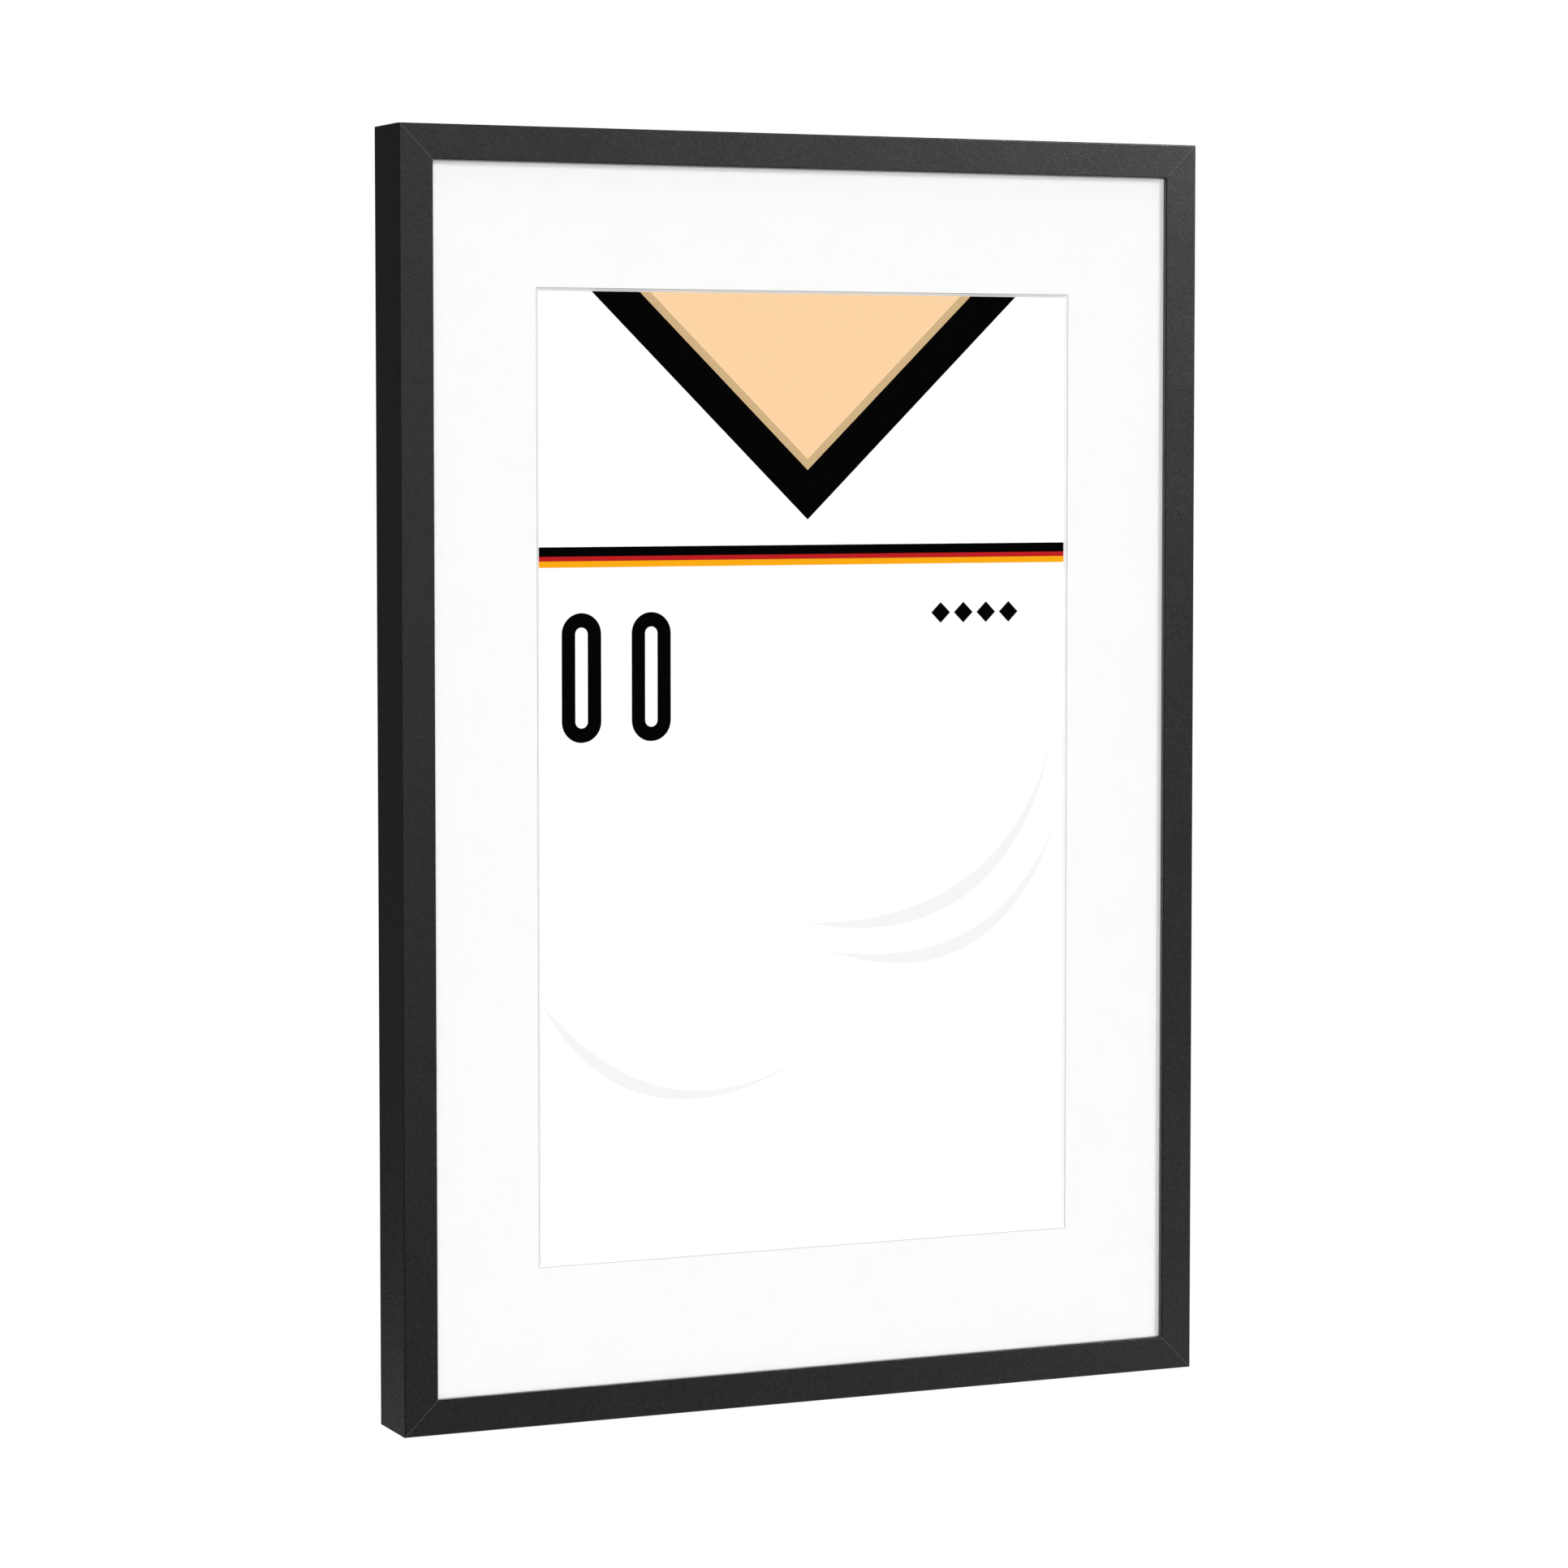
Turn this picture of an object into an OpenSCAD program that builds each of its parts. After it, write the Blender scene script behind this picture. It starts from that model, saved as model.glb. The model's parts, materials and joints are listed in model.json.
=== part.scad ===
// Framed art print behind a bevelled window mount, in a deep black gallery frame.
// Millimetres. X is to the right, Z is up, and the front faces -Y.
// The origin is on the wall plane, at the middle of the frame.

/* [Frame] */
// Width over the rails
frame_w = 428; // [380:1:480]
// Height over the rails
frame_h = 628; // [600:1:700]
// Depth of the rails, front to back
frame_d = 36; // [32:0.5:45]
// Width of a rail seen from the front
rail_face = 17; // [17:0.5:25]
// Thickness of the front lip that keeps the glazing in
lip_t = 2.5; // [2:0.5:4]
// Width of the rebate behind the lip
rebate_w = 5; // [4:0.5:5]
// Radius of the eased long edges
edge_r = 0.6; // [0.3:0.1:1.2]

/* [Sheets] */
// Play between a sheet's edge and the rebate wall
sheet_play = 2; // [0.5:0.5:3]
// Thickness of the glazing
glazing_t = 2; // [1.5:0.5:3]
// Thickness of the window mount and of the mount board
board_t = 1.6; // [1.2:0.1:2.5]
// Thickness of the backboard
backboard_t = 3; // [2.5:0.5:4]
// Width of the spacer battens
spacer_w = 10; // [6:1:14]

/* [Window mount] */
// Border at each side, from the lip to the bevel's front edge
border_side = 53.5; // [45:0.5:56]
// Border at the top and bottom, from the lip to the bevel's front edge
border_end = 59.5; // [50:0.5:70]

/* [Print] */
// Thickness of the printed sheet
print_t = 0.3; // [0.2:0.05:0.5]
// How far the sheet reaches behind the window mount
print_margin = 7; // [5:1:12]
// Height of the collar's outer point over the middle
collar_z = 125; // [115:1:140]
// Rise of the collar's edges for each unit of width
collar_slope = 0.97; // [0.8:0.01:1.2]
// Height of the chest band's top edge over the middle
band_z = 112.5; // [60:0.5:114]

/* [Hanging hardware] */
// Gap between the rails and the wall
standoff = 4; // [3.8:0.1:6]
// Height of the hangers over the middle
hanger_z = 140; // [60:1:160]
// Width of a hanger strap
strap_w = 7.5; // [6:0.5:7.5]
// Diameter of the ring wire
ring_wire = 1.8; // [1.4:0.1:1.8]
// Length of a turn button, from its pivot to its tip
button_reach = 18; // [14:0.5:22]

/* [Hidden] */
$fn = 48;

// Depths along Y, from the front to the back
back_y = -standoff;
front_y = back_y - frame_d;
glazing_y = front_y + lip_t;
mat_y = glazing_y + glazing_t;
print_y = mat_y + board_t;
print_back_y = print_y + print_t;
slip_gap = 0.2;
mount_y = print_back_y + slip_gap;
spacer_y = mount_y + board_t;
backboard_y = back_y - backboard_t;

// Sheets
land_w = rail_face - rebate_w;
sheet_w = frame_w - 2 * (land_w + sheet_play);
sheet_h = frame_h - 2 * (land_w + sheet_play);

// Window at the bevel's front edge, and the smaller opening at the print
window_w = frame_w - 2 * (rail_face + border_side);
window_h = frame_h - 2 * (rail_face + border_end);
sight_w = window_w - 2 * board_t;
sight_h = window_h - 2 * board_t;
print_w = window_w + 2 * print_margin;
print_h = window_h + 2 * print_margin;
ink_t = 0.06;

// Printed motif
collar_band = 24.4;
collar_trim = 5.4;
black_band = 4.6;
red_band = 2.3;
gold_band = 3;
digit_w = 20.5;
digit_h = 63;
digit_stroke = 7;
digit_z = 49;
digit_xs = [-120, -83.5];
mark_size = 10.4;
mark_z = 78;
mark_xs = [73, 85.6, 98.2, 110.8];
curve_steps = 24;

// Turn buttons, held by a screw in the middle of the rail's back
pivot_x = frame_w / 2 - land_w / 2;
pivot_z = frame_h / 2 - land_w / 2;
side_step = 205;
button_t = 1.2;
button_root_r = 4.5;
button_tip_r = 3.5;
button_gap = 0.1;
rib_r = 1.3;
rib_rise = 0.5;
screw_r = 1.5;
screw_len = 14;
head_r = 3;
head_h = 1.4;
running_gap = 0.08;
pilot_gap = 0.05;

// Hangers, set in from the rails' middles so that the rings don't show past the frame's sides
hanger_x = pivot_x - 1;
strap_t = 0.8;
strap_len = 31;
ring_r = ring_wire / 2;
curl_bore_r = ring_r + running_gap;
curl_r = curl_bore_r + strap_t;
ring_y = back_y + strap_t + ring_r + 0.25;
ring_half_w = strap_w / 2 + ring_r + 0.4;
ring_leg = 5;
strap_hole_zs = [-16, -26];
hanger_screw_r = 1.4;
hanger_head_r = 2.6;

// V-nails and bumpers
nail_leg = 3.5;
nail_t = 0.6;
nail_depth = 10;
nail_insets = [3, 7.5];
bumper_r = 5;
bumper_x = frame_w / 2 - 24;

black_lacquer = [0.16, 0.16, 0.16];
mat_white = [0.98, 0.98, 0.98];
paper_white = [1, 1, 1];
zinc = [0.72, 0.73, 0.75];
raw_wood = [0.80, 0.68, 0.50];

// ---------- helpers ----------

// A flat outline drawn in X and Z, standing up with its front at y
module upright(y, t) {
    translate([0, y + t, 0])
        rotate([90, 0, 0])
            linear_extrude(t)
                children();
}

// An outline drawn in Y and Z, run along X
module along_x(length) {
    rotate([90, 0, 90])
        linear_extrude(length, center = true)
            children();
}

module sheet(w, h, y, t) {
    upright(y, t) square([w, h], center = true);
}

module both_sides() {
    children();
    mirror([1, 0, 0]) children();
}

// ---------- rails ----------

// What an eased edge takes off a square corner at the origin
module eased_corner() {
    difference() {
        translate([-1, -1]) square(edge_r + 1);
        translate([edge_r, edge_r]) circle(edge_r);
    }
}

// L-shaped moulding: outer face at x = 0, front at y = 0
module rail_section() {
    difference() {
        union() {
            square([rail_face, lip_t]);
            square([land_w, frame_d]);
        }
        eased_corner();
        translate([rail_face, 0]) mirror([1, 0]) eased_corner();
        translate([0, frame_d]) mirror([0, 1]) eased_corner();
    }
}

// A rail along Z, mitred at both ends
module mitred_rail(length) {
    intersection() {
        linear_extrude(length, center = true) rail_section();
        upright(-1, frame_d + 2)
            polygon([
                [-1, -length / 2 - 1],
                [rail_face + 1, -length / 2 + rail_face + 1],
                [rail_face + 1, length / 2 - rail_face - 1],
                [-1, length / 2 + 1]
            ]);
    }
}

module side_rail() {
    translate([-frame_w / 2, front_y, 0]) mitred_rail(frame_h);
}

module end_rail() {
    translate([0, front_y, frame_h / 2])
        rotate([0, 90, 0])
            mitred_rail(frame_w);
}

module rail_left() {
    color(black_lacquer) difference() {
        side_rail();
        fixing_holes();
    }
}

module rail_right() {
    color(black_lacquer) difference() {
        mirror([1, 0, 0]) side_rail();
        fixing_holes();
    }
}

module rail_top() {
    color(black_lacquer) difference() {
        end_rail();
        fixing_holes();
    }
}

module rail_bottom() {
    color(black_lacquer) difference() {
        mirror([0, 0, 1]) end_rail();
        fixing_holes();
    }
}

// ---------- corner joints ----------

// Each V-nail is an angle with its corner on the mitre line
module v_nails(depth) {
    for (sx = [-1, 1], sz = [-1, 1], inset = nail_insets)
        translate([sx * (frame_w / 2 - inset), 0, sz * (frame_h / 2 - inset)])
            scale([sx, 1, sz])
                upright(back_y - nail_depth, depth)
                    difference() {
                        translate([-nail_leg, -nail_leg]) square(nail_leg);
                        translate([-nail_leg - nail_t, -nail_leg - nail_t]) square(nail_leg);
                    }
}

module corner_v_nails() {
    color(zinc) v_nails(nail_depth);
}

// ---------- screws ----------

// Screw along Y: the head's underside is at y = 0 and the shank runs to -Y
module screw(shank_r, shank_len, cap_r, cap_h) {
    crown_r = (cap_r * cap_r + cap_h * cap_h) / (2 * cap_h);
    slot_w = 0.24 * cap_r;
    slot_len = 1.1 * cap_r;
    rotate([-90, 0, 0]) {
        translate([0, 0, -shank_len]) cylinder(r = shank_r, h = shank_len + 0.1);
        difference() {
            rotate_extrude() intersection() {
                square([cap_r, cap_h]);
                translate([0, cap_h - crown_r]) circle(crown_r);
            }
            for (turn = [0, 90])
                rotate([0, 0, turn + 45])
                    translate([-slot_len / 2, -slot_w / 2, cap_h * 0.35])
                        cube([slot_len, slot_w, cap_h]);
        }
    }
}

// Turn button places: pivot in X and Z, and the way the closed button points
button_left_high = [-pivot_x, side_step, 0];
button_left_mid = [-pivot_x, 0, 0];
button_left_low = [-pivot_x, -side_step, 0];
button_right_high = [pivot_x, side_step, 180];
button_right_mid = [pivot_x, 0, 180];
button_right_low = [pivot_x, -side_step, 180];
button_top = [0, pivot_z, 90];
button_bottom = [0, -pivot_z, -90];
button_places = [
    button_left_high, button_left_mid, button_left_low,
    button_right_high, button_right_mid, button_right_low,
    button_top, button_bottom
];

module turn_button_screws() {
    color(zinc)
        for (place = button_places)
            translate([place[0], back_y + 2 * button_gap + button_t, place[1]])
                screw(screw_r, screw_len, head_r, head_h);
}

module hanger_screws() {
    color(zinc)
        both_sides()
            for (z = strap_hole_zs)
                translate([-hanger_x, back_y + strap_t, hanger_z + z])
                    screw(hanger_screw_r, screw_len, hanger_head_r, head_h);
}

// Pilot holes and nail slots, taken out of every rail
module fixing_holes() {
    for (place = button_places)
        translate([place[0], back_y + 1, place[1]])
            rotate([90, 0, 0])
                cylinder(r = screw_r + pilot_gap, h = screw_len + 1);
    both_sides()
        for (z = strap_hole_zs)
            translate([-hanger_x, back_y + 1, hanger_z + z])
                rotate([90, 0, 0])
                    cylinder(r = hanger_screw_r + pilot_gap, h = screw_len + 1);
    v_nails(nail_depth + 1);
}

// ---------- turn buttons ----------

// Outline along +X from the pivot: two round ends and the straight tangents between them
module button_outline() {
    span = button_reach - button_tip_r;
    lean = asin((button_root_r - button_tip_r) / span);
    circle(button_root_r);
    translate([span, 0]) circle(button_tip_r);
    polygon([
        [button_root_r * sin(lean), -button_root_r * cos(lean)],
        [span + button_tip_r * sin(lean), -button_tip_r * cos(lean)],
        [span + button_tip_r * sin(lean), button_tip_r * cos(lean)],
        [button_root_r * sin(lean), button_root_r * cos(lean)]
    ]);
}

// Stamped plate with a pressed rib, turned about its pivot
module turn_button(place) {
    rib_start = button_root_r + 1.5;
    rib_len = button_reach - rib_start - 2;
    color(zinc)
        translate([place[0], back_y + button_gap, place[1]])
            rotate([0, place[2], 0])
                difference() {
                    union() {
                        upright(0, button_t) button_outline();
                        translate([rib_start, button_t + rib_rise - rib_r, 0])
                            rotate([0, 90, 0])
                                intersection() {
                                    cylinder(r = rib_r, h = rib_len);
                                    translate([-rib_r, 0, 0]) cube([2 * rib_r, rib_r, rib_len]);
                                }
                    }
                    translate([0, button_t + 1, 0])
                        rotate([90, 0, 0])
                            cylinder(r = screw_r + running_gap, h = button_t + 2);
                }
}

// ---------- sheets ----------

module glazing() {
    color([0.85, 0.93, 0.95, 0.2]) sheet(sheet_w, sheet_h, glazing_y, glazing_t);
}

// Half width of the bevelled cut, one unit past both faces of the board
function cut_profile(full, y) = [
    [y - 1, -full / 2 - 1],
    [y - 1, full / 2 + 1],
    [y + board_t + 1, full / 2 - board_t - 1],
    [y + board_t + 1, -full / 2 + board_t + 1]
];

// The 45 degree window cut: where two tapered bars cross
module window_cut() {
    intersection() {
        along_x(window_w + 4) polygon(cut_profile(window_h, mat_y));
        linear_extrude(window_h + 4, center = true)
            polygon([for (p = cut_profile(window_w, mat_y)) [p[1], p[0]]]);
    }
}

module window_mount() {
    color(mat_white) difference() {
        sheet(sheet_w, sheet_h, mat_y, board_t);
        window_cut();
    }
}

module print_sheet() {
    color(paper_white) sheet(print_w, print_h, print_y, print_t);
}

// Two paper hinges: stuck to the print's back and to the mount's back above it
module hinge_tapes() {
    tape_t = 0.15;
    tape_w = 25;
    tape_len = 20;
    top = print_h / 2;
    color([0.95, 0.93, 0.86])
        both_sides()
            translate([-80, 0, 0])
                along_x(tape_w)
                    polygon([
                        [print_back_y, top - tape_len],
                        [print_back_y + tape_t, top - tape_len],
                        [print_back_y + tape_t, top + tape_t],
                        [print_y + tape_t, top + tape_t],
                        [print_y + tape_t, top + tape_len],
                        [print_y, top + tape_len],
                        [print_y, top],
                        [print_back_y, top]
                    ]);
}

module mount_board() {
    color(mat_white) sheet(sheet_w, sheet_h, mount_y, board_t);
}

module backboard() {
    color([0.66, 0.53, 0.38]) sheet(sheet_w, sheet_h, backboard_y, backboard_t);
}

module spacer_side() {
    color(raw_wood)
        translate([-sheet_w / 2, spacer_y, -sheet_h / 2])
            cube([spacer_w, backboard_y - spacer_y, sheet_h]);
}

module spacer_end() {
    color(raw_wood)
        translate([-sheet_w / 2 + spacer_w, spacer_y, sheet_h / 2 - spacer_w])
            cube([sheet_w - 2 * spacer_w, backboard_y - spacer_y, spacer_w]);
}

// ---------- printed motif ----------

// A film of ink on the print, kept inside the window's sight edge
module ink() {
    upright(print_y - ink_t, ink_t)
        intersection() {
            square([sight_w, sight_h], center = true);
            children();
        }
}

// Everything above a V whose point is at height z
module collar_v(z) {
    reach = sight_w;
    polygon([[0, z], [reach, z + reach * collar_slope], [-reach, z + reach * collar_slope]]);
}

module band(top, height) {
    translate([-sight_w / 2, top - height]) square([sight_w, height]);
}

// A plain nought: a round-ended bar with a round-ended slot
module round_bar(w, h) {
    square([w, h - w], center = true);
    for (end = [-1, 1]) translate([0, end * (h - w) / 2]) circle(w / 2);
}

module nought() {
    difference() {
        round_bar(digit_w, digit_h);
        round_bar(digit_w - 2 * digit_stroke, digit_h - 2 * digit_stroke);
    }
}

module ink_black() {
    color("black") ink() {
        difference() {
            collar_v(collar_z);
            collar_v(collar_z + collar_band);
        }
        band(band_z, black_band);
        for (x = digit_xs) translate([x, digit_z]) nought();
        for (x = mark_xs)
            translate([x, mark_z])
                rotate(45)
                    square(mark_size / sqrt(2), center = true);
    }
}

module ink_red() {
    color([0.72, 0.08, 0.09]) ink() band(band_z - black_band, red_band);
}

module ink_gold() {
    color([0.99, 0.66, 0.0]) ink() band(band_z - black_band - red_band, gold_band);
}

module ink_tan() {
    color([0.82, 0.69, 0.52]) ink() difference() {
        collar_v(collar_z + collar_band);
        collar_v(collar_z + collar_band + collar_trim);
    }
}

module ink_peach() {
    color([0.99, 0.83, 0.64]) ink() collar_v(collar_z + collar_band + collar_trim);
}

// A point on a curve from a to b that two control points pull outwards
function curve(a, p, q, b, t) =
    pow(1 - t, 3) * a + 3 * t * pow(1 - t, 2) * p + 3 * t * t * (1 - t) * q + pow(t, 3) * b;

function curve_points(a, p, q, b) =
    [for (i = [0 : curve_steps]) curve(a, p, q, b, i / curve_steps)];

// A crescent between two curves that share their ends
module fold(a, b, inner, outer) {
    polygon(concat(
        curve_points(a, outer[0], outer[1], b),
        [for (i = [curve_steps - 1 : -1 : 1]) curve(a, inner[0], inner[1], b, i / curve_steps)]
    ));
}

module ink_grey() {
    color([0.955, 0.955, 0.955]) ink() {
        fold([-1, -75], [135, 11], [[50, -78], [113, -64]], [[76, -92], [121, -53]]);
        fold([13, -90], [138, -29], [[76, -100], [115, -79]], [[85, -115], [122, -74]]);
        fold([-142, -108], [-9, -146], [[-83, -178], [-28, -152]], [[-96, -188], [-24, -153]]);
    }
}

// ---------- hangers ----------

// Strap hanging from the ring's straight leg, with its pivot at the origin in X and Z
module hanger_strap() {
    color(zinc)
        translate([-hanger_x, 0, hanger_z])
            difference() {
                union() {
                    upright(back_y, strap_t) {
                        translate([-strap_w / 2, strap_w / 2 - strap_len])
                            square([strap_w, strap_len - strap_w / 2]);
                        translate([0, strap_w / 2 - strap_len]) circle(strap_w / 2);
                    }
                    translate([0, ring_y, 0])
                        rotate([0, 90, 0])
                            cylinder(r = curl_r, h = strap_w, center = true);
                }
                translate([0, ring_y, 0])
                    rotate([0, 90, 0])
                        cylinder(r = curl_bore_r, h = strap_w + 2, center = true);
                for (z = strap_hole_zs)
                    translate([0, back_y + strap_t + 1, z])
                        rotate([90, 0, 0])
                            cylinder(r = hanger_screw_r + pilot_gap, h = strap_t + 2);
            }
}

// D-shaped ring hanging down from its straight leg
module hanger_ring() {
    color([0.82, 0.83, 0.85])
        translate([-hanger_x, ring_y, hanger_z]) {
            rotate([0, 90, 0]) cylinder(r = ring_r, h = 2 * ring_half_w, center = true);
            for (side = [-1, 1]) translate([side * ring_half_w, 0, 0]) {
                sphere(ring_r);
                translate([0, 0, -ring_leg]) cylinder(r = ring_r, h = ring_leg);
            }
            translate([0, 0, -ring_leg])
                rotate([-90, 0, 0])
                    rotate_extrude(angle = 180)
                        translate([ring_half_w, 0])
                            circle(ring_r);
        }
}

// ---------- bumpers ----------

module bumper_outline() {
    intersection() {
        square([bumper_r, standoff]);
        union() {
            square([bumper_r - 1.5, standoff]);
            square([bumper_r, standoff - 1.5]);
            translate([bumper_r - 1.5, standoff - 1.5]) circle(1.5);
        }
    }
}

module wall_bumpers() {
    color([0.10, 0.10, 0.10])
        both_sides()
            translate([-bumper_x, back_y, -pivot_z])
                rotate([-90, 0, 0])
                    rotate_extrude()
                        bumper_outline();
}

// ---------- assembly ----------

rail_top();
rail_bottom();
rail_left();
rail_right();
corner_v_nails();
glazing();
window_mount();
print_sheet();
ink_black();
ink_red();
ink_gold();
ink_peach();
ink_tan();
ink_grey();
hinge_tapes();
mount_board();
spacer_end();  // spacer_top
mirror([0, 0, 1]) spacer_end();  // spacer_bottom
spacer_side();  // spacer_left
mirror([1, 0, 0]) spacer_side();  // spacer_right
backboard();
turn_button(button_left_high);  // turn_button_left_high
turn_button(button_left_mid);  // turn_button_left_mid
turn_button(button_left_low);  // turn_button_left_low
turn_button(button_right_high);  // turn_button_right_high
turn_button(button_right_mid);  // turn_button_right_mid
turn_button(button_right_low);  // turn_button_right_low
turn_button(button_top);  // turn_button_top
turn_button(button_bottom);  // turn_button_bottom
turn_button_screws();
hanger_strap();  // hanger_strap_left
mirror([1, 0, 0]) hanger_strap();  // hanger_strap_right
hanger_screws();
hanger_ring();  // hanger_ring_left
mirror([1, 0, 0]) hanger_ring();  // hanger_ring_right
wall_bumpers();
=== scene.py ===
"""Looks for a deep black gallery frame that holds a flat print of a sports shirt.

The CAD nodes keep their shapes. This script eases their sharp edges with modifiers, gives each one a
procedural material, and adds the light, the floor and the camera. Lengths are in metres.
"""

import json
import math

import bpy
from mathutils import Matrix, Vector


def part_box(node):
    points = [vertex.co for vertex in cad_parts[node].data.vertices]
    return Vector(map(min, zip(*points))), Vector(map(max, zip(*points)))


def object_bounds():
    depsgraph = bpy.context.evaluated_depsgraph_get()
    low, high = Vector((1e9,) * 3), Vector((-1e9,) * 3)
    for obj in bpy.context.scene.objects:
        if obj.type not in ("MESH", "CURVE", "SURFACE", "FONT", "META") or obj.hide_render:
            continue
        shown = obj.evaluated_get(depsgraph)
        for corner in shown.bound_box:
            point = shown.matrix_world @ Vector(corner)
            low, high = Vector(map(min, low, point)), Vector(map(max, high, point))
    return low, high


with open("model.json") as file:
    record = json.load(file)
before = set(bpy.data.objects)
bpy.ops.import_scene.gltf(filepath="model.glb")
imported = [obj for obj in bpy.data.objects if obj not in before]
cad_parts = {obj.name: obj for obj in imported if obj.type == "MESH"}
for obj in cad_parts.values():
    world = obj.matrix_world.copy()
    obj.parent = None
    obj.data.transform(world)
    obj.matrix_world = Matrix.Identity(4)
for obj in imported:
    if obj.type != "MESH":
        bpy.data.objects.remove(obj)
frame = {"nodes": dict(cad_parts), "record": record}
nodes = frame["nodes"]
cad_low, cad_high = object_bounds()

MM = 0.001

# Places that the materials need, read from the CAD
frame_low, frame_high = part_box("rail_left")[0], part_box("rail_right")[1]
front_y = frame_low.y
half_w = frame_high.x
half_h = frame_high.z
mat_front_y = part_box("window_mount")[0].y


# ---------------------------------------------------------------- node helpers


class Shader:
    """A material's node tree, with short calls for the nodes used here."""

    def __init__(self, name):
        self.material = bpy.data.materials.new(name)
        self.material.use_nodes = True
        self.tree = self.material.node_tree
        self.tree.nodes.clear()
        self.output = self.tree.nodes.new("ShaderNodeOutputMaterial")
        self.coordinates = self.tree.nodes.new("ShaderNodeTexCoord").outputs["Object"]

    def node(self, kind, settings=None, **inputs):
        """Adds a node. An input is a value, or another node's output to link to."""
        made = self.tree.nodes.new(kind)
        for key, value in (settings or {}).items():
            setattr(made, key, value)
        for key, value in inputs.items():
            self.feed(made.inputs[key.replace("_", " ")], value)
        return made

    def feed(self, socket, value):
        """Links a socket to another node's output, or sets its value."""
        if isinstance(value, bpy.types.NodeSocket):
            self.tree.links.new(value, socket)
        else:
            socket.default_value = value

    def math(self, operation, *values):
        made = self.tree.nodes.new("ShaderNodeMath")
        made.operation = operation
        for socket, value in zip(made.inputs, values):
            self.feed(socket, value)
        return made.outputs["Value"]

    def axes(self):
        split = self.node("ShaderNodeSeparateXYZ", Vector=self.coordinates)
        return split.outputs["X"], split.outputs["Y"], split.outputs["Z"]

    def stretched(self, x, y, z):
        """Object coordinates, scaled along each axis."""
        made = self.node("ShaderNodeMapping", Vector=self.coordinates)
        made.inputs["Scale"].default_value = (x, y, z)
        return made.outputs["Vector"]

    def noise(self, size, detail=2.0, roughness=0.5, vector=None):
        """Noise from 0 to 1 whose blobs are about size metres across."""
        made = self.node(
            "ShaderNodeTexNoise",
            Vector=self.coordinates if vector is None else vector,
            Scale=1.0 / size,
            Detail=detail,
            Roughness=roughness,
        )
        return made.outputs["Fac"]

    def remap(self, value, low, high, to_low=0.0, to_high=1.0):
        """Maps low to to_low and high to to_high, and holds those values beyond them."""
        made = self.node("ShaderNodeMapRange", Value=value)
        for key, number in (("From Min", low), ("From Max", high), ("To Min", to_low), ("To Max", to_high)):
            made.inputs[key].default_value = number
        return made.outputs["Result"]

    def mix(self, share, first, second):
        made = self.tree.nodes.new("ShaderNodeMix")
        made.data_type = "RGBA"
        self.feed(made.inputs["Factor"], share)
        self.feed(made.inputs["A"], first)
        self.feed(made.inputs["B"], second)
        return made.outputs["Result"]

    def vary(self, noise, least=0.0, most=1.0):
        """Spreads noise, whose values lie mostly from 0.3 to 0.7, over a range."""
        return self.remap(noise, 0.3, 0.7, least, most)

    def bump(self, height, distance, strength=1.0):
        made = self.node("ShaderNodeBump", Strength=strength, Distance=distance, Height=height)
        return made.outputs["Normal"]

    def surface(self, **inputs):
        """The Principled shader, linked to the output."""
        made = self.node("ShaderNodeBsdfPrincipled")
        for key, value in inputs.items():
            self.feed(made.inputs[key.replace("_", " ")], value)
        self.tree.links.new(made.outputs["BSDF"], self.output.inputs["Surface"])


def grey(value):
    return (value, value, value, 1.0)


# ---------------------------------------------------------------- materials


# Half the width of the painted highlight along the seam where two rails meet, and the distance at which it
# has faded out
MITRE_HIGHLIGHT_HALF_WIDTH = 0.12 * MM
MITRE_HIGHLIGHT_FADE = 0.3 * MM
# How much smoother the edges are than the faces
ARRIS_POLISH = 0.11


def black_lacquer():
    """Satin black spray lacquer: a fine even speckle, with a painted highlight along the hairline seam
    where the mitres meet.
    """
    s = Shader("rail_lacquer")
    x, _, z = s.axes()
    speckle = s.noise(0.9 * MM, detail=2.0, roughness=0.6)
    grain = s.noise(1.2 * MM, detail=1.0)
    cloud = s.noise(40 * MM, detail=2.0)
    # Distance from the mitre plane, which runs at 45 degrees from each outer corner
    from_side = s.math("SUBTRACT", half_w, s.math("ABSOLUTE", x))
    from_end = s.math("SUBTRACT", half_h, s.math("ABSOLUTE", z))
    from_mitre = s.math("ABSOLUTE", s.math("SUBTRACT", from_side, from_end))
    # Painted highlight: the base colour is lightened along the mitre seam, standing in for light caught by
    # the joint's edges
    mitre_highlight = s.remap(from_mitre, MITRE_HIGHLIGHT_HALF_WIDTH, MITRE_HIGHLIGHT_FADE, 0.8, 0.0)
    base = s.mix(s.vary(speckle), grey(0.002), grey(0.007))
    gloss = s.math("ADD", s.vary(grain, 0.25, 0.28), s.vary(cloud, -0.005, 0.005))
    # Hands and cloths have polished the arrises, whose normals point along no axis
    facing = s.node("ShaderNodeSeparateXYZ", Vector=s.node("ShaderNodeNewGeometry").outputs["Normal"])
    along = [s.math("ABSOLUTE", facing.outputs[axis]) for axis in "XYZ"]
    squareness = s.math("MAXIMUM", s.math("MAXIMUM", along[0], along[1]), along[2])
    polish = s.remap(squareness, 0.97, 0.995, ARRIS_POLISH, 0.0)
    s.surface(
        # The mitre seam's painted highlight lightens the base colour here
        Base_Color=s.mix(mitre_highlight, base, grey(0.07)),
        Roughness=s.math("SUBTRACT", gloss, polish),
        Specular_IOR_Level=0.5,
        Normal=s.bump(speckle, 0.033 * MM),
    )
    return s.material


# Thickness of the window mount's face paper, and the depth at which its cut edge has faded out
FACE_PAPER = 0.25 * MM
FACE_PAPER_FADE = 0.4 * MM


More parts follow.
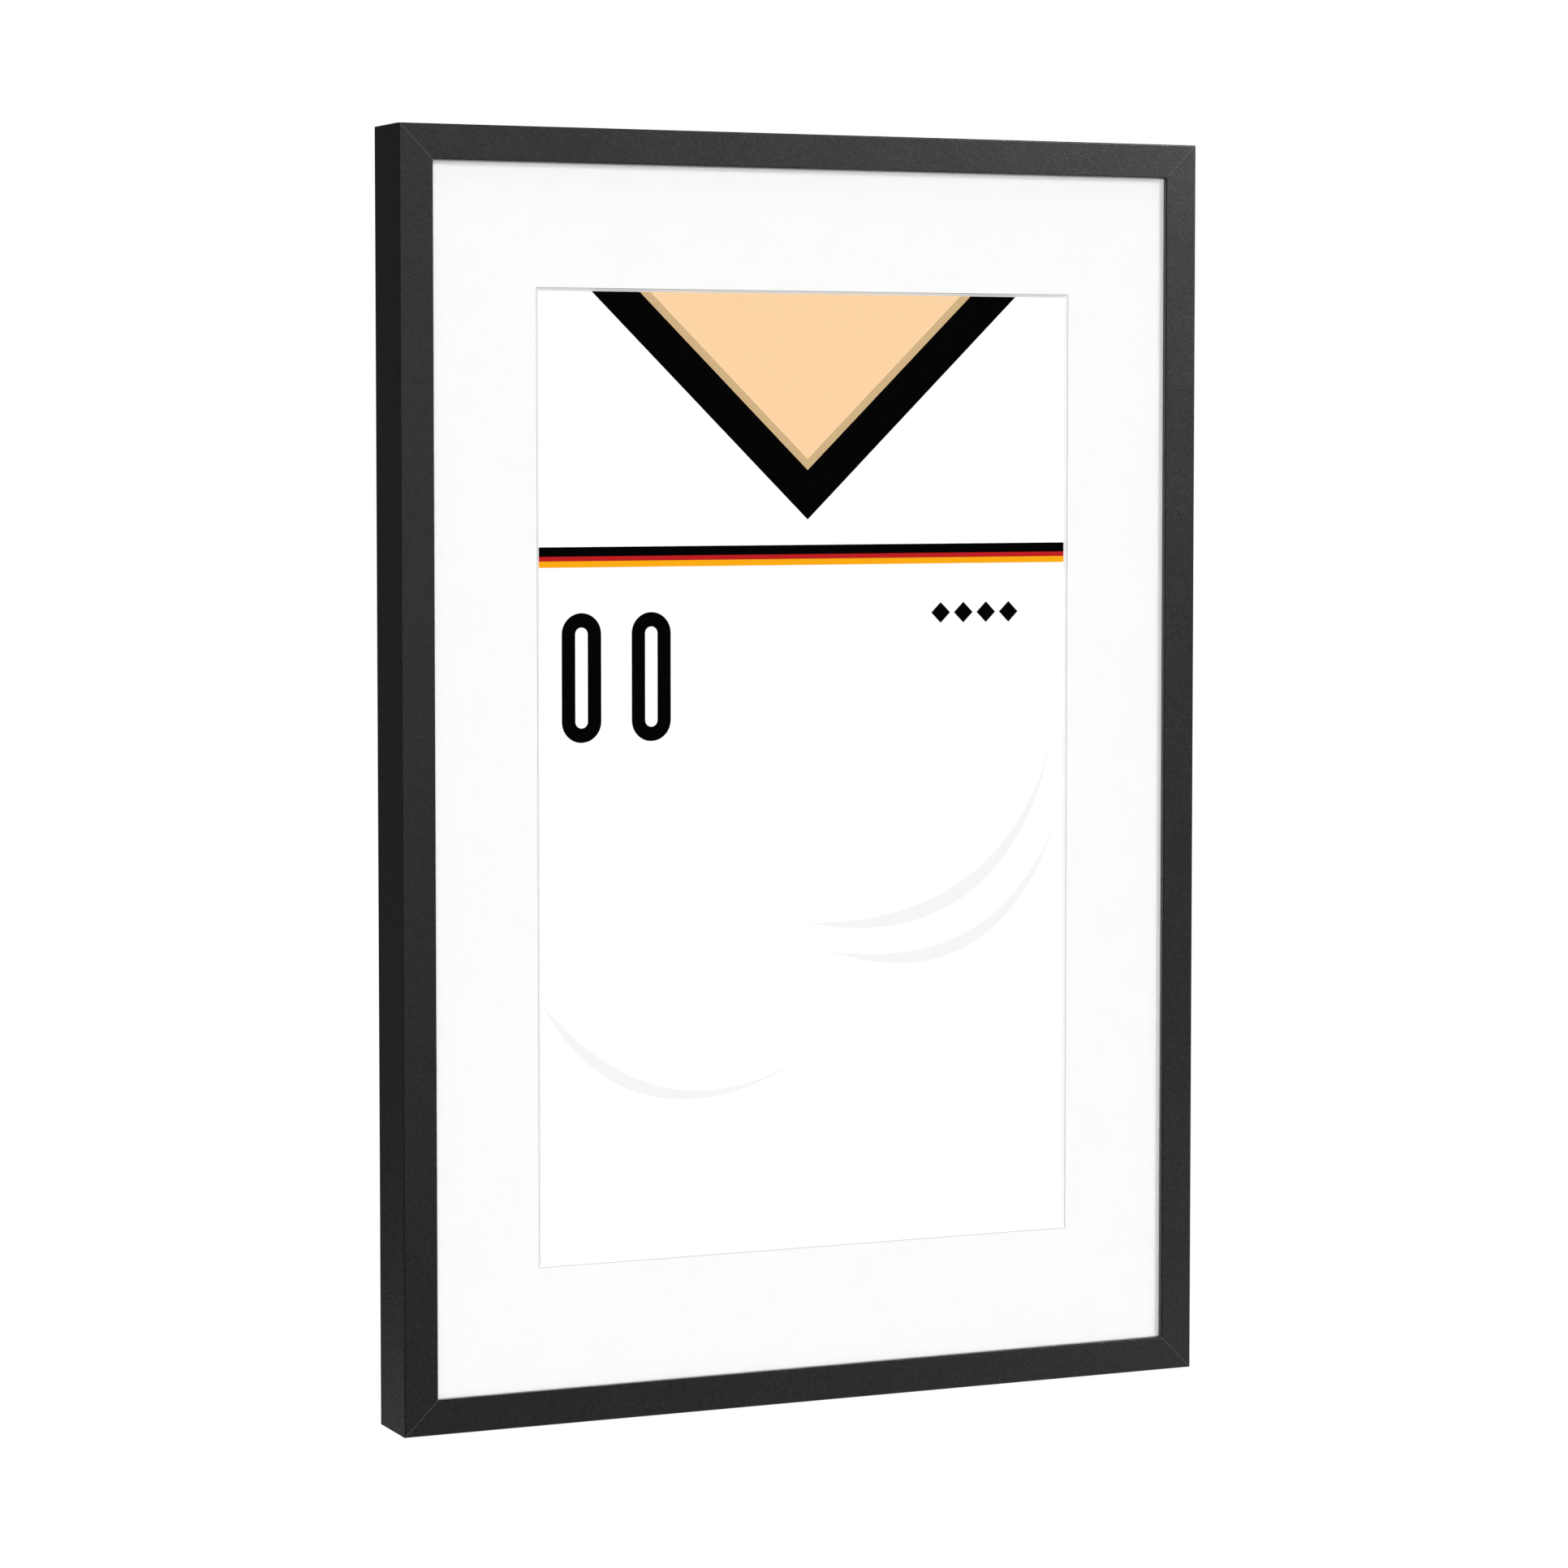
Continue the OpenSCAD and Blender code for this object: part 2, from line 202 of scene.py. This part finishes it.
def mat_board():
    """White window mount: smooth face paper over a brighter core that shows on the bevel."""
    s = Shader("mat_board")
    _, y, _ = s.axes()
    depth = s.math("SUBTRACT", y, mat_front_y)
    facing = s.node("ShaderNodeNewGeometry").outputs["Normal"]
    toward_front = s.math("ABSOLUTE", s.node("ShaderNodeSeparateXYZ", Vector=facing).outputs["Y"])
    on_bevel = s.math("LESS_THAN", toward_front, 0.9)
    # The face paper's cut edge is a grey line along the top of the bevel
    cut_paper = s.math("MULTIPLY", on_bevel, s.remap(depth, FACE_PAPER, FACE_PAPER_FADE, 1.0, 0.0))
    tooth = s.noise(0.6 * MM, detail=4.0, roughness=0.6)
    face = s.mix(s.vary(tooth), grey(0.918), grey(0.928))
    core = s.mix(s.vary(tooth), grey(0.94), grey(0.96))
    s.surface(
        Base_Color=s.mix(cut_paper, s.mix(on_bevel, face, core), grey(0.55)),
        Roughness=0.9,
        Specular_IOR_Level=0.25,
        Normal=s.bump(tooth, 0.03 * MM, 0.5),
    )
    return s.material


def paper(name, colour, roughness=0.85, spread=0.01, shine=0.1):
    """Matt coated paper, or ink on it, with a faint tooth that darkens it by up to the spread."""
    s = Shader(name)
    tooth = s.noise(0.45 * MM, detail=4.0, roughness=0.6)
    dark = tuple(c * (1 - spread) for c in colour[:3]) + (1.0,)
    s.surface(
        Base_Color=s.mix(s.vary(tooth), dark, colour),
        Roughness=roughness,
        Specular_IOR_Level=shine,
        Normal=s.bump(tooth, 0.02 * MM, 0.4),
    )
    return s.material


def glazing():
    """Clear glass, with a low index of refraction that stands in for an anti-reflective coating.

    Only the camera's rays meet it, so the lamps reach the print unbent.
    """
    s = Shader("clear_glazing")
    smear = s.noise(60 * MM, detail=3.0)
    glass = s.node(
        "ShaderNodeBsdfPrincipled",
        Base_Color=(0.99, 0.995, 0.992, 1.0),
        Roughness=s.remap(smear, 0.35, 0.75, 0.0, 0.02),
        IOR=1.1,
        Transmission_Weight=1.0,
    )
    clear = s.node("ShaderNodeBsdfTransparent", Color=(0.995, 0.997, 0.996, 1.0))
    seen = s.node("ShaderNodeLightPath").outputs["Is Camera Ray"]
    both = s.node("ShaderNodeMixShader")
    for socket, source in zip(both.inputs, (seen, clear.outputs[0], glass.outputs[0])):
        s.tree.links.new(source, socket)
    s.tree.links.new(both.outputs[0], s.output.inputs["Surface"])
    return s.material


def linen():
    """Gummed linen tape, woven square to its length."""
    s = Shader("linen_tape")
    warp = s.node("ShaderNodeTexWave", {"bands_direction": "X"}, Vector=s.coordinates, Scale=700.0)
    weft = s.node("ShaderNodeTexWave", {"bands_direction": "Z"}, Vector=s.coordinates, Scale=700.0)
    weave = s.math("MULTIPLY", warp.outputs["Fac"], weft.outputs["Fac"])
    s.surface(
        Base_Color=s.mix(weave, (0.72, 0.68, 0.56, 1), (0.90, 0.87, 0.77, 1)),
        Roughness=0.9,
        Normal=s.bump(weave, 0.08 * MM, 0.7),
    )
    return s.material


def pine():
    """Planed pine battens with grain along their length."""
    s = Shader("batten_wood")
    grain = s.noise(6 * MM, detail=5.0, roughness=0.6, vector=s.stretched(1.0, 1.0, 0.06))
    rings = s.node("ShaderNodeTexWave", {"bands_direction": "Y"}, Vector=s.coordinates, Scale=40.0)
    s.feed(rings.inputs["Distortion"], 6.0)
    figure = s.math("MULTIPLY", grain, s.remap(rings.outputs["Fac"], 0.0, 1.0, 0.75, 1.1))
    s.surface(
        Base_Color=s.mix(s.remap(figure, 0.25, 0.65), (0.46, 0.27, 0.12, 1), (0.72, 0.50, 0.28, 1)),
        Roughness=0.7,
        Normal=s.bump(grain, 0.1 * MM, 0.5),
    )
    return s.material


def fibreboard():
    """Medium density fibreboard: felted brown fibres, with darker and paler flecks."""
    s = Shader("backboard_fibre")
    fibre_a = s.noise(1.8 * MM, detail=6.0, roughness=0.7, vector=s.stretched(0.6, 1.0, 1.0))
    fibre_b = s.noise(1.8 * MM, detail=6.0, roughness=0.7, vector=s.stretched(1.0, 1.0, 0.6))
    felt = s.math("MULTIPLY", s.math("ADD", fibre_a, fibre_b), 0.5)
    cloud = s.noise(60 * MM, detail=3.0)
    dust = s.noise(1.1 * MM, detail=1.0)
    base = s.mix(s.remap(felt, 0.38, 0.62), (0.25, 0.145, 0.075, 1), (0.46, 0.30, 0.17, 1))
    base = s.mix(s.remap(cloud, 0.35, 0.65, 0.0, 0.25), base, (0.34, 0.22, 0.12, 1))
    base = s.mix(s.remap(dust, 0.70, 0.76, 0.0, 0.5), base, (0.12, 0.07, 0.04, 1))
    s.surface(
        Base_Color=base,
        Roughness=s.remap(felt, 0.38, 0.62, 0.55, 0.75),
        Normal=s.bump(felt, 0.08 * MM, 0.5),
    )
    return s.material


def zinc(name, roughness, tint):
    """Bright zinc plate over stamped steel: mottled, with rubbed patches."""
    s = Shader(name)
    mottle = s.noise(1.8 * MM, detail=5.0, roughness=0.6)
    scratch = s.noise(0.5 * MM, detail=3.0, vector=s.stretched(0.08, 1.0, 1.0))
    dull = tuple(c * 0.72 for c in tint[:3]) + (1.0,)
    wear = s.math("ADD", s.vary(mottle, -0.09, 0.09), s.vary(scratch, -0.05, 0.05))
    s.surface(
        Base_Color=s.mix(s.vary(mottle), dull, tint),
        Metallic=1.0,
        Roughness=s.math("ADD", wear, roughness),
        Normal=s.bump(scratch, 0.01 * MM, 0.5),
    )
    return s.material


def rubber():
    """Matt black rubber with a fine moulded grain."""
    s = Shader("bumper_rubber")
    grain = s.noise(0.5 * MM, detail=3.0)
    s.surface(
        Base_Color=s.mix(grain, grey(0.012), grey(0.028)),
        Roughness=s.vary(grain, 0.65, 0.85),
        Normal=s.bump(grain, 0.04 * MM, 0.6),
    )
    return s.material


STEEL_TINT = (0.50, 0.51, 0.53, 1.0)
ZINC_TINT = (0.64, 0.66, 0.69, 1.0)
NICKEL_TINT = (0.70, 0.68, 0.64, 1.0)
materials = {
    "rail_lacquer": black_lacquer(),
    "nail_steel": zinc("nail_steel", 0.38, STEEL_TINT),
    "clear_glazing": glazing(),
    "mat_board": mat_board(),
    "mount_board": paper("mount_board", (0.84, 0.83, 0.79, 1.0), spread=0.04),
    "print_paper": paper("print_paper", grey(0.97), spread=0.004),
    "ink_black": paper("ink_black", grey(0.0006), roughness=0.7, shine=0.01),
    "ink_red": paper("ink_red", (0.479, 0.006, 0.008, 1.0), roughness=0.75, spread=0.04),
    "ink_gold": paper("ink_gold", (0.940, 0.392, 0.0, 1.0), roughness=0.75, spread=0.03),
    "ink_peach": paper("ink_peach", (0.940, 0.630, 0.355, 1.0), roughness=0.8, spread=0.01),
    "ink_tan": paper("ink_tan", (0.610, 0.420, 0.225, 1.0), roughness=0.8, spread=0.02),
    "ink_grey": paper("ink_grey", grey(0.875), roughness=0.8, spread=0.006),
    "linen_tape": linen(),
    "batten_wood": pine(),
    "backboard_fibre": fibreboard(),
    "button_zinc": zinc("button_zinc", 0.30, ZINC_TINT),
    "screw_zinc": zinc("screw_zinc", 0.26, ZINC_TINT),
    "strap_zinc": zinc("strap_zinc", 0.30, ZINC_TINT),
    "ring_nickel": zinc("ring_nickel", 0.18, NICKEL_TINT),
    "bumper_rubber": rubber(),
}


# ---------------------------------------------------------------- CAD nodes

# Radius that a slot's sharp edges are eased to
EASED = {
    "rail_lacquer": 0.12 * MM,
    "mount_board": 0.2 * MM,
    "batten_wood": 0.5 * MM,
    "backboard_fibre": 0.3 * MM,
    "button_zinc": 0.15 * MM,
    "strap_zinc": 0.12 * MM,
    "screw_zinc": 0.08 * MM,
}
SHARP_ANGLE = math.radians(32)


def ease_edges(node, width):
    """Welds the imported mesh and rounds its sharp edges a little, so that they catch the light."""
    weld = node.modifiers.new("weld", "WELD")
    weld.merge_threshold = 0.001 * MM
    bevel = node.modifiers.new("ease", "BEVEL")
    bevel.width = width
    bevel.segments = 2
    bevel.limit_method = "ANGLE"
    bevel.angle_limit = SHARP_ANGLE
    bevel.use_clamp_overlap = True
    node.modifiers.new("normals", "WEIGHTED_NORMAL").keep_sharp = True


slot_of = {row["node"]: row["material_slot"] for row in frame["record"]["subparts"]}
for name, node in nodes.items():
    slot = slot_of[name]
    node.data.materials.clear()
    node.data.materials.append(materials[slot])
    if slot in EASED:
        ease_edges(node, EASED[slot])


# ---------------------------------------------------------------- studio

# The floor is too far down and too small to show in the camera's view
FLOOR_DROP = 0.42
FLOOR_SIZE = 1.8
LAMP_DISTANCE = 3.0
SOFTBOX_DISTANCE = 1.6
SOFTBOX_SIZE = 1.4

# Suns: name, azimuth, elevation and apparent width in degrees, and strength. An azimuth of 0 is
# straight in front of the frame and 90 is to its right.
LIGHT_SUNS = (
    # On the print: a broad key from the upper right, and a fill from beside the camera
    ("key", 20, 26, 18, 1.165),
    ("front_fill", -20, 4, 14, 1.875),
    # On the floor
    ("overhead", 0, 90, 60, 0.9),
    # On the back
    ("back_key", 150, 35, 20, 1.6),
)
SHEEN_SUNS = (
    # On the lacquer: a highlight at the upper right, and weaker ones from below and from the side
    ("sheen_high", 41, 20, 14, 3.4),
    ("sheen_right", 40, 12, 12, 0.36),
    ("sheen_low", 38, -20, 16, 0.24),
    ("sheen_front", 10, -2, 14, 0.085),
    ("sheen_side", -156, 4, 40, 0.02),
    ("sheen_side_low", -156, -20, 14, 0.08),
    # Broad and dim, for the faces that the camera doesn't see
    ("sheen_left", -66, 5, 60, 0.3),
    ("sheen_far_side", 95, 10, 60, 0.3),
    ("sheen_top", 0, 90, 60, 0.3),
)

# Lens and sensor in millimetres, and the camera's place from the middle of the frame's front
CAMERA_LENS = 106.8
CAMERA_SENSOR = 36.0
CAMERA_SHIFT = -0.05
CAMERA_LEFT = 0.9391
CAMERA_AWAY = 2.0936
CAMERA_UP = 0.1635
CAMERA_TURNED = math.radians(23.81)
CAMERA_TIPPED = math.radians(3.25)


def add_floor():
    """A plain pale floor below the frame, which hangs clear of it."""
    level = cad_low.z - FLOOR_DROP
    half = FLOOR_SIZE / 2
    mesh = bpy.data.meshes.new("floor")
    corners = [(-half, -half, level), (half, -half, level), (half, half, level), (-half, half, level)]
    mesh.from_pydata(corners, [], [(0, 1, 2, 3)])
    floor = bpy.data.objects.new("floor", mesh)
    bpy.context.scene.collection.objects.link(floor)
    s = Shader("floor_pale")
    dust = s.noise(40 * MM, detail=3.0)
    s.surface(Base_Color=s.mix(dust, grey(0.90), grey(0.92)), Roughness=0.9, Specular_IOR_Level=0.0)
    mesh.materials.append(s.material)
    # Its bounce would light the lower half of the print more than the upper
    floor.visible_diffuse = False


def add_world(backdrop, fill, sheen):
    """Pure white behind the frame, an even fill for its light, and a dim one for its reflections."""
    world = bpy.data.worlds.new("studio")
    bpy.context.scene.world = world
    world.use_nodes = True
    tree = world.node_tree
    tree.nodes.clear()
    output = tree.nodes.new("ShaderNodeOutputWorld")
    background = tree.nodes.new("ShaderNodeBackground")
    background.inputs["Color"].default_value = grey(1.0)
    path = tree.nodes.new("ShaderNodeLightPath")
    seen_by = (
        ("Is Camera Ray", backdrop),
        ("Is Diffuse Ray", fill),
        ("Is Transmission Ray", fill),
        ("Is Glossy Ray", sheen),
    )
    total = None
    for ray, strength in seen_by:
        part = tree.nodes.new("ShaderNodeMath")
        part.operation = "MULTIPLY_ADD"
        tree.links.new(path.outputs[ray], part.inputs[0])
        part.inputs[1].default_value = strength
        part.inputs[2].default_value = 0.0
        if total is not None:
            tree.links.new(total, part.inputs[2])
        total = part.outputs["Value"]
    tree.links.new(total, background.inputs["Strength"])
    tree.links.new(background.outputs[0], output.inputs["Surface"])


def aim(thing, target):
    thing.rotation_mode = "QUATERNION"
    thing.rotation_quaternion = (Vector(target) - thing.location).to_track_quat("-Z", "Y")


def direction(azimuth, elevation):
    """Unit vector from the frame towards a lamp."""
    a, e = math.radians(azimuth), math.radians(elevation)
    return Vector((math.sin(a) * math.cos(e), -math.cos(a) * math.cos(e), math.sin(e)))


def place_lamp(name, lamp, location, diffuse, glossy):
    """Adds a lamp aimed at the frame's middle, seen only by the kinds of ray named."""
    thing = bpy.data.objects.new(name, lamp)
    bpy.context.scene.collection.objects.link(thing)
    thing.location = location
    aim(thing, (0.0, 0.0, 0.0))
    thing.visible_camera = False
    thing.visible_diffuse = diffuse
    thing.visible_glossy = glossy


def add_sun(name, azimuth, elevation, width, strength, diffuse, glossy):
    lamp = bpy.data.lights.new(name, "SUN")
    lamp.angle = math.radians(width)
    lamp.energy = strength
    place_lamp(name, lamp, direction(azimuth, elevation) * LAMP_DISTANCE, diffuse, glossy)


def add_softbox(name, azimuth, elevation, power):
    """A square lamp that makes both light and sheen."""
    lamp = bpy.data.lights.new(name, "AREA")
    lamp.shape = "SQUARE"
    lamp.size = SOFTBOX_SIZE
    lamp.energy = power
    place_lamp(name, lamp, direction(azimuth, elevation) * SOFTBOX_DISTANCE, True, True)


def add_camera():
    """Seen from the left and a little above, from about 2.3 m, with a long lens."""
    lens = bpy.data.cameras.new("camera")
    lens.sensor_width = CAMERA_SENSOR
    lens.lens = CAMERA_LENS
    lens.shift_y = CAMERA_SHIFT
    camera = bpy.data.objects.new("camera", lens)
    bpy.context.scene.collection.objects.link(camera)
    camera.location = (-CAMERA_LEFT, front_y - CAMERA_AWAY, CAMERA_UP)
    camera.rotation_euler = (math.radians(90) - CAMERA_TIPPED, 0.0, -CAMERA_TURNED)
    bpy.context.scene.camera = camera


add_floor()
add_world(backdrop=1.0, fill=0.165, sheen=0.02)
for sun in LIGHT_SUNS:
    add_sun(*sun, diffuse=True, glossy=False)
for sun in SHEEN_SUNS:
    add_sun(*sun, diffuse=False, glossy=True)
add_softbox("back_softbox", 150, 25, 14.0)
add_camera()
bpy.context.scene.view_settings.view_transform = "Standard"
